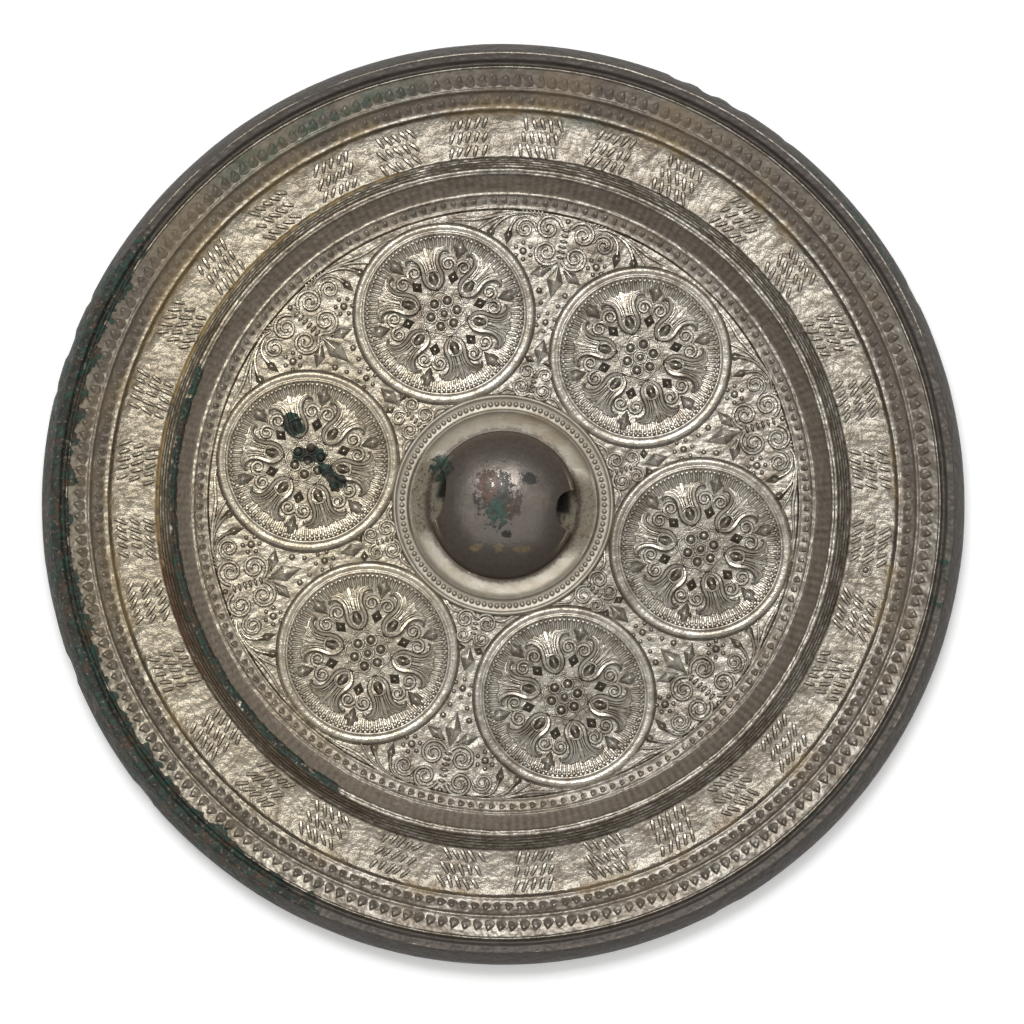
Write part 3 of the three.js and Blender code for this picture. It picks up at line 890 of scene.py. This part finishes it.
def silveredBronze(name, look):
    finish = Finish(name)
    smooth, mixed, larger = finish.smooth, finish.mixed, finish.larger
    x, y = finish.places()[:2]
    radius = (x * x + y * y) ** 0.5
    angle = finish.maths("ARCTAN2", x, y)
    outside = look["outside"]

    def ring(part):
        return finish.between(radius, *rings[part]) * outside

    def sector(part):
        return finish.sector(angle, *sectors[part])

    def zone(part):
        return smooth(radius, *zones[part])

    broad = finish.noise(55, 1, 0.6)
    cloud = finish.noise(260, 2, 0.66)
    fine = finish.noise(1000 / look["grainSize"], 2, 0.7)
    patchy = finish.noise(150, 3, 0.78)
    flecks = finish.noise(520, 2, 0.8)
    onBand = ring("band")
    ground = larger(onBand, zone("field")) if outside else 1
    onRim = zone("rim") * outside
    onWall = zone("wall") * outside
    onSlope = ring("slope")
    worn = smooth(broad + 0.3 * cloud, 0.62, 0.72) * 0.7
    edgeWear = ring("edge") * larger(sector("wornEdge"), worn)
    # bare metal: silvery with warmer clouds, darker on the slopes, with dark grain in the rough ground
    base = mixed(smooth(cloud, 0.35, 0.75), "silver", "warm")
    shade = (1 - ground) * 0.6 * smooth(broad + 0.35 * cloud, 0.35, 0.95)
    tarnish = ground * smooth(broad * 0.7 + cloud * 0.8, 0.68, 0.98) * 0.6
    base = mixed(larger(shade, tarnish), base, "dark")
    base = mixed(sector("straw") * 0.4 + onBand * 0.1, base, "straw")
    base = mixed(onBand * 0.22, base, "brown")
    base = mixed(onRim * 0.9 - edgeWear, base, "rim")
    grit = smooth(fine + 0.4 * cloud, 0.68, 0.86)
    base = mixed(grit * look["grit"], base, "brown")
    # a dull film on the rim, its wall, the toothed steps and the inner slope, with tan and brown clouds
    clouded = smooth(cloud + 0.5 * broad, 0.6, 0.95)
    thinned = films["thinSteps"] * sector("thinSteps") + films["clearSteps"] * (1 - clouded)
    steps = ring("steps") * (films["steps"] - thinned)
    beadStep = ring("beadStep") * films["beadStep"]
    film = larger(
        steps, beadStep, onRim * films["rim"], onWall * films["wall"], onSlope * films["slope"], look["film"])
    film = film * (1 - edgeWear)
    filmTone = mixed(smooth(broad, 0.42, 0.62), "film", "tan")
    hatch = finish.maths("SINE", angle * look["hatch"])
    dark = 0.25 + 0.45 * sector("darkSlope") + (0.12 + 0.2 * clouded) * hatch
    slopeTone = mixed(dark, "slope", "brown")
    filmTone = mixed(onSlope, filmTone, slopeTone)
    filmTone = mixed(onRim, filmTone, "rim")
    filmTone = mixed(onWall, filmTone, "wall")
    filmTone = mixed(smooth(fine, 0.5, 0.7) * 0.45, filmTone, "brown")
    filmTone = mixed(ground * look["film"] * 2.5, filmTone, "warm")
    # brown stain along the outer edge of the band, a gold-brown western flank of the ridge, a rusty thread
    edgeStain = ring("bandStain") * smooth(broad + 0.5 * cloud, 0.62, 0.85) * 0.6
    goldLine = sector("goldLine") * ring("goldLine") * smooth(cloud, 0.3, 0.55)
    brownFlank = sector("brownFlank") * ring("brownFlank")
    rustLine = sector("rustLine") * ring("rustLine") * smooth(patchy, 0.42, 0.52)
    skinTone = mixed(larger(edgeStain, goldLine), filmTone, "gold")
    skinTone = mixed(brownFlank, skinTone, "umber")
    skinTone = mixed(rustLine, skinTone, "rust")
    film = larger(
        film, edgeStain * films["bandStain"], goldLine * films["goldLine"],
        brownFlank * films["brownFlank"], rustLine * films["rustLine"])
    # green, brown and black crust: the western rim, the ridge's inner edge, a few spots
    ragged = cloud * 0.5 + patchy * 0.8
    westRim = sector("rimCrust") * zone("crustReach") * (0.66 - 0.2 * onWall)
    rimCrust = smooth(westRim + ragged, 1.02, 1.07) * outside
    wallGreen = sector("wallGreen") * onWall * smooth(ragged, 0.5, 0.66)
    spots = sector("rimSpots") * onRim * smooth(ragged, 0.74, 0.8)
    ridgeArc = sector("ridgeCrust") * ring("ridgeCrust")
    ridgeCrust = smooth(ridgeArc * 0.56 + ragged, 1.06, 1.12) * outside
    crust = larger(rimCrust, wallGreen, spots, ridgeCrust)
    for middle, halfSize in fieldPatches:
        crust = larger(crust, finish.patch(x, y, middle, halfSize, ragged * 1.2 - 0.3))
    crustTone = mixed(smooth(patchy + 0.3 * flecks, 0.62, 0.74), "blackGreen", "umber")
    crustTone = mixed(smooth(cloud + 0.5 * flecks, 0.7, 0.84) * 0.85, crustTone, "crust")
    crustTone = mixed(smooth(flecks, 0.56, 0.7) * 0.85, crustTone, "verdigris")
    crustTone = mixed(smooth(fine, 0.58, 0.7) * 0.6, crustTone, "slope")
    skinTone = mixed(crust, skinTone, crustTone)
    # faint blue-green tints on the outer step and at the top of the band
    tint = larger(sector("stepTint") * ring("stepTint"), sector("bandTint") * ring("bandTint"))
    tint = tint * smooth(ragged, 0.55, 0.75) * 0.6
    skinTone = mixed(tint, skinTone, "teal")
    film = larger(film, tint * films["tint"], crust)
    bumpHeight = fine * look["grain"] * (0.25 + 0.75 * ground) + cloud * look["dents"]
    return finish.filmed(base, look["roughness"] + 0.1 * cloud, skinTone, look["skin"], film, bumpHeight)


# The ground is the disc's rough casting and the relief its smooth forms. Outside is 1 for a piece that leaves
# the field; 0 drops the masks of the rings and the rim.
shared = {"skin": {"roughness": 0.62, "specular": 0.3}, "hatch": 254.0}
smoothCast = {**shared, "grain": 1.0, "grainSize": 0.9, "dents": 1.5, "roughness": 0.24, "grit": 0.35,
              "film": 0.15}
looks = {
    "ground": {**shared, "grain": 2.0, "grainSize": 0.95, "dents": 8.0, "roughness": 0.34, "grit": 0.5,
               "film": 0.12, "outside": 1},
    "relief": {**smoothCast, "outside": 0},
    "strokes": {**smoothCast, "outside": 1},
}


# Patches on the knob: middle, half size and tone. The later ones lie over the earlier ones.
knobPatches = [((-1.4, 0.6), (4.6, 6.2), "blackGreen"), ((-3.7, 3.0), (2.3, 4.2), "rust"),
               ((-1.0, -2.4), (2.5, 2.7), "verdigris"), ((2.2, -1.2), (2.0, 2.5), "umber"),
               ((6.0, 5.2), (1.9, 1.5), "blackGreen"), ((0.9, -7.8), (1.1, 0.9), "sootAndShadow"),
               ((-1.2, -11.2), (1.3, 0.9), "ochre"), ((4.4, -11.2), (1.8, 0.7), "ochre"),
               ((-6.1, -10.6), (1.5, 0.9), "ochre"), ((-14.2, 8.0), (2.4, 3.2), "crust"),
               ((-13.6, 9.6), (1.2, 1.3), "verdigris"), ((5.2, 19.4), (6.0, 1.3), "ochre"),
               ((12.2, 15.2), (3.6, 1.6), "ochre")]


# The entries for the inside of the hole place a painted shadow there.
knobLook = {
    "skin": {"roughness": 0.5, "specular": 0.35},
    # distances from the knob's middle where a part starts to show and where it shows in full
    "dome": (17.5, 17.15), "roughSeat": (22.6, 21.0), "duller": (8.5, 18.5), "flatSeat": (21.7, 21.2),
    "hole": (17.6, 15.4), "shine": (5, 12),
    # start, end and softness, the last two across the hole
    "footStain": (18.2, 19.9, 0.7), "roughAcross": (-9.0, 8.0, 2.5), "shadowAcross": (-0.6, 6.6, 1.0),
    # the squared distance along the hole, and heights
    "roughAlong": (150, 200), "roughTop": (7.6, 7.0), "shadowTop": (7.5, 6.5),
    "thinnest": 0.14, "ochreFilm": 0.5, "patchFilm": 0.94, "shadowFilm": 0.97,
}


def knobFinish():
    finish = Finish("knobBronze")
    smooth, mixed, larger = finish.smooth, finish.mixed, finish.larger
    x, y, height = finish.places()
    fromMiddle = (x * x + (y - fieldShift[1]) * (y - fieldShift[1])) ** 0.5
    cloud = finish.noise(200, 4, 0.62)
    fine = finish.noise(900, 3, 0.65)
    ragged = finish.noise(640, 6, 0.8)

    def shown(value, part):
        return smooth(value, *knobLook[part])

    # the cast surface is rough beside both mouths of the hole, and inside the hole a painted shadow darkens it
    axisTurn = math.radians(knob["holeTurn"])
    along = x * math.cos(axisTurn) + y * math.sin(axisTurn)
    across = y * math.cos(axisTurn) - x * math.sin(axisTurn)
    beside = finish.between(across, *knobLook["roughAcross"]) * shown(along * along, "roughAlong")
    onDome = shown(fromMiddle, "dome") * (1 - beside * shown(height, "roughTop"))
    rough = beside * shown(fromMiddle, "roughSeat") * (1 - onDome)
    base = mixed(smooth(cloud, 0.3, 0.75), "silver", "warm")
    base = mixed(onDome * (1 - 0.6 * smooth(cloud, 0.5, 0.66)), base, "knob")
    pitted = smooth(ragged + 0.4 * cloud, 0.68, 0.8)
    base = mixed(rough * pitted * 0.6, base, "umber")
    footStain = finish.between(fromMiddle + 3 * ragged, *knobLook["footStain"])
    edge = shown(fromMiddle + 5 * cloud, "duller") * onDome
    film = larger(
        onDome * (0.1 + 0.5 * smooth(cloud, 0.42, 0.6)), edge * 0.9, knobLook["thinnest"],
        footStain * 0.8, (1 - onDome) * (0.18 + 0.24 * shown(fromMiddle, "flatSeat")),
        rough * (0.25 + 0.45 * pitted))
    skinTone = mixed(smooth(cloud, 0.35, 0.7), "film", "dark")
    skinTone = mixed(edge, skinTone, "foot")
    skinTone = mixed((1 - onDome) * 0.65, skinTone, "straw")
    speckled = smooth(fine + 0.4 * ragged, 0.75, 0.84)
    skinTone = mixed(rough * speckled * 0.85, skinTone, "umber")
    skinTone = mixed(footStain, skinTone, "umber")
    # inside the hole a painted shadow, almost black, stands in for the shade there
    inside = finish.between(across + ragged, *knobLook["shadowAcross"]) * shown(fromMiddle + ragged, "hole")
    inside = inside * shown(height, "shadowTop")
    skinTone = mixed(inside, skinTone, "sootAndShadow")
    film = larger(film, inside * knobLook["shadowFilm"])
    for middle, halfSize, tone in knobPatches:
        patch = finish.patch(x, y, middle, halfSize, ragged * 2.6 - 0.8)
        skinTone = mixed(patch, skinTone, tone)
        film = larger(film, patch * knobLook["ochreFilm" if tone == "ochre" else "patchFilm"])
    patched = smooth(fine, 0.46, 0.58) * onDome * (0.25 + 0.6 * smooth(film, 0.9, 0.94))
    skinTone = mixed(patched, skinTone, "blackGreen")
    bumpHeight = fine * (0.4 + rough * 5) + ragged * (rough * 7 + 0.4) + cloud * 1.5
    roughness = 0.1 + 0.12 * cloud + 0.14 * shown(fromMiddle, "shine") + (1 - onDome) * 0.17
    return finish.filmed(base, roughness, skinTone, knobLook["skin"], film, bumpHeight)


print("finishes")
groundFinish = silveredBronze("silveredGround", looks["ground"])
reliefFinish = silveredBronze("silveredRelief", looks["relief"])
strokesFinish = silveredBronze("silveredStrokes", looks["strokes"])
finishes = {"knob": knobFinish(), "band_strokes": strokesFinish}
for name in ["mirror_body", *toothNames]:
    finishes[name] = groundFinish

for piece in pieces:
    piece.data.materials.clear()
    piece.data.materials.append(finishes.get(piece.name, reliefFinish))
    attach(piece, "root")
    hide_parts("mirror")


# Distances and sizes are in metres here.
studio = {
    "distance": 1.5, "elevation": 86.4, "imageWidth": 0.2382, "aimX": 0.00205, "aimY": -0.0023, "aimZ": 0.006,
    "sky": 0.2, "skyTone": (1.0, 0.985, 0.96, 1),
    "floorTone": (0.92, 0.92, 0.92, 1), "floorGlow": 0.2, "floorRadius": 3, "floorDrop": 0.00001,
    # name, azimuth, angle off the vertical, distance, size and power
    "lights": [("overhead", 0, 4, 2.0, (4.6, 4.6), 47), ("northBox", 350, 28, 2.2, (1.7, 0.9), 11),
               ("keyBox", 345, 23, 2.1, (0.85, 0.5), 13)],
}


def makeFloor():
    clearSelection()
    bpy.ops.mesh.primitive_circle_add(
        vertices=64, radius=studio["floorRadius"], fill_type="NGON", location=(0, 0, -studio["floorDrop"]))
    floor = bpy.context.object
    floor.name = "floor"
    finish = Finish("paleFloor")
    shader = finish.node("ShaderNodeBsdfPrincipled", {}, {
        "Base Color": studio["floorTone"], "Roughness": 0.8,
        "Emission Color": (1, 1, 1, 1), "Emission Strength": studio["floorGlow"]})
    floor.data.materials.append(finish.closed(shader))
    return floor


def softLight(name, azimuth, offVertical, distance, size, power):
    # azimuth is clockwise from +Y, and the light faces the mirror
    tilt = math.radians(offVertical)
    x, y = turnedPoint(0, distance * math.sin(tilt), azimuth)
    z = distance * math.cos(tilt)
    clearSelection()
    bpy.ops.object.light_add(type="AREA", location=(x, y, z))
    light = bpy.context.object
    light.name = name
    light.data.shape = "RECTANGLE"
    light.data.size = size[0]
    light.data.size_y = size[1]
    light.data.energy = power
    light.rotation_euler = (-tilt, 0, -math.radians(azimuth))


print("studio")
makeFloor()
for light in studio["lights"]:
    softLight(*light)

world = bpy.data.worlds.new("studioWorld")
bpy.context.scene.world = world
world.use_nodes = True
sky = world.node_tree.nodes["Background"]
sky.inputs["Color"].default_value = studio["skyTone"]
sky.inputs["Strength"].default_value = studio["sky"]

clearSelection()
tilt = math.radians(studio["elevation"])
back, up = studio["distance"] * math.cos(tilt), studio["distance"] * math.sin(tilt)
bpy.ops.object.camera_add(
    location=(studio["aimX"], studio["aimY"] - back, studio["aimZ"] + up), rotation=(math.pi / 2 - tilt, 0, 0))
camera = bpy.context.object
camera.data.lens = camera.data.sensor_width * studio["distance"] / studio["imageWidth"]
bpy.context.scene.camera = camera
bpy.context.scene.view_settings.view_transform = "Standard"

print("triangles", sum(len(p.vertices) - 2 for piece in pieces for p in piece.data.polygons))
